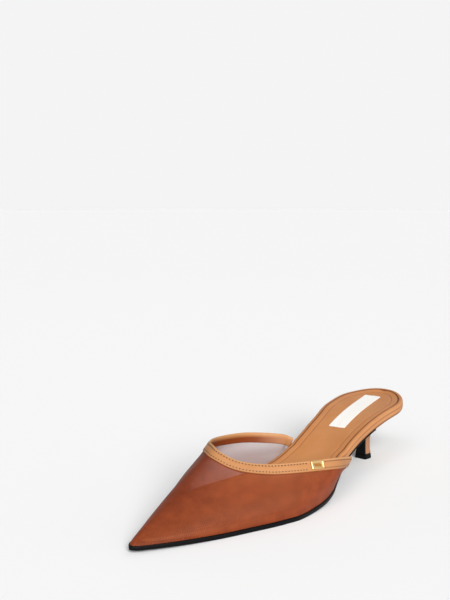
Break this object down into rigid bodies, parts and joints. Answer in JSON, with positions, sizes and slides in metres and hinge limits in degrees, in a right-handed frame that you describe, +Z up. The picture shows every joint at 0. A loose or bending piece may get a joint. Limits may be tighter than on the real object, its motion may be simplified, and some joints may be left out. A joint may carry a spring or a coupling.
{
  "type": "mule shoe",
  "caption": "Pointed backless mule with a sheer rust mesh vamp, a tan leather topline strap with a plain gold keeper, and a low kitten heel.",
  "frame": {"origin": "on the floor under the middle of the shoe's own box", "axes": "+X from the heel to the toe, +Y to the outer side of the foot, +Z up"},
  "size_m": [0.2626, 0.082, 0.0455],
  "materials": {
    "black_sole": "polished",
    "tan_leather": "smooth, satin",
    "sock_leather": "smooth, satin",
    "rust_mesh": "fine sheer mesh",
    "strap_leather": "smooth, satin",
    "gold": "polished",
    "heel_leather": "smooth, matt",
    "heel_rubber": "matt",
    "white_label": "satin"
  },
  "bodies": {
    "root": {"outsole": "black_sole", "footbed": "tan_leather", "sock": "sock_leather", "upper": "rust_mesh", "topline_strap": "strap_leather", "keeper": "gold", "heel": "heel_leather", "top_piece": "heel_rubber", "label": "white_label"}
  },
  "joints": []
}
